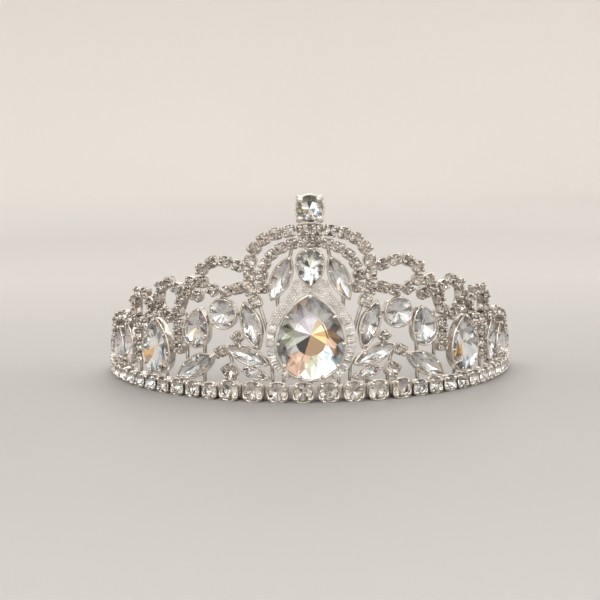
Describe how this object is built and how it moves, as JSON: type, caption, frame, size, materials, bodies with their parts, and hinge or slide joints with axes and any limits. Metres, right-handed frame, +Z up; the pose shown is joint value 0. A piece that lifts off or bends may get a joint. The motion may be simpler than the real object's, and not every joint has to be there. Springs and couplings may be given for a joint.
{
  "type": "bridal tiara",
  "caption": "Bridal tiara: crystal pears and navettes in claw settings under a round-stone arch, on a curved band with a row of cup-set stones and hair pin eyelets.",
  "frame": {"origin": "middle of the footprint's bounding box, on the table plane under the band", "axes": "+X across the tiara, to the right as it is seen from the front; -Y out of the front; +Z up"},
  "size_m": [0.1414, 0.0784, 0.065],
  "materials": {
    "plated_frame": "satin silver plating on wire and strip",
    "plated_setting": "bright silver plating on cups and claws",
    "crystal": "clear faceted crystal with a foiled back"
  },
  "bodies": {
    "root": {"base_band": "plated_frame", "arch_rails": "plated_frame", "left_scroll_rails": "plated_frame", "right_scroll_rails": "plated_frame", "center_uprights": "plated_frame", "left_uprights": "plated_frame", "right_uprights": "plated_frame", "left_end_eyelet": "plated_frame", "right_end_eyelet": "plated_frame", "base_center_cups": "plated_setting", "base_left_cups": "plated_setting", "base_right_cups": "plated_setting", "base_center_stones": "crystal", "base_left_stones": "crystal", "base_right_stones": "crystal", "outer_arch_cups": "plated_setting", "outer_arch_stones": "crystal", "inner_arch_cups": "plated_setting", "inner_arch_stones": "crystal", "left_eye_cups": "plated_setting", "right_eye_cups": "plated_setting", "eye_stones": "crystal", "left_ring_cups": "plated_setting", "right_ring_cups": "plated_setting", "ring_stones": "crystal", "left_filler_cups": "plated_setting", "right_filler_cups": "plated_setting", "filler_stones": "crystal", "center_pear_setting": "plated_setting", "center_pear_halo": "plated_setting", "center_pear_stone": "crystal", "top_drop_setting": "plated_setting", "top_drop_stone": "crystal", "crown_setting": "plated_setting", "crown_stone": "crystal", "upper_navette_settings": "plated_setting", "upper_navette_stones": "crystal", "side_navette_settings": "plated_setting", "side_navette_stones": "crystal", "lower_navette_settings": "plated_setting", "lower_navette_stones": "crystal", "leaf_navette_settings": "plated_setting", "leaf_navette_stones": "crystal", "wing_navette_settings": "plated_setting", "wing_navette_stones": "crystal", "round_settings": "plated_setting", "round_stones": "crystal", "small_pear_settings": "plated_setting", "small_pear_stones": "crystal", "side_pear_settings": "plated_setting", "side_pear_stones": "crystal", "far_navette_settings": "plated_setting", "far_navette_stones": "crystal", "end_pear_settings": "plated_setting", "end_pear_stones": "crystal", "tail_navette_settings": "plated_setting", "tail_navette_stones": "crystal"}
  },
  "joints": []
}
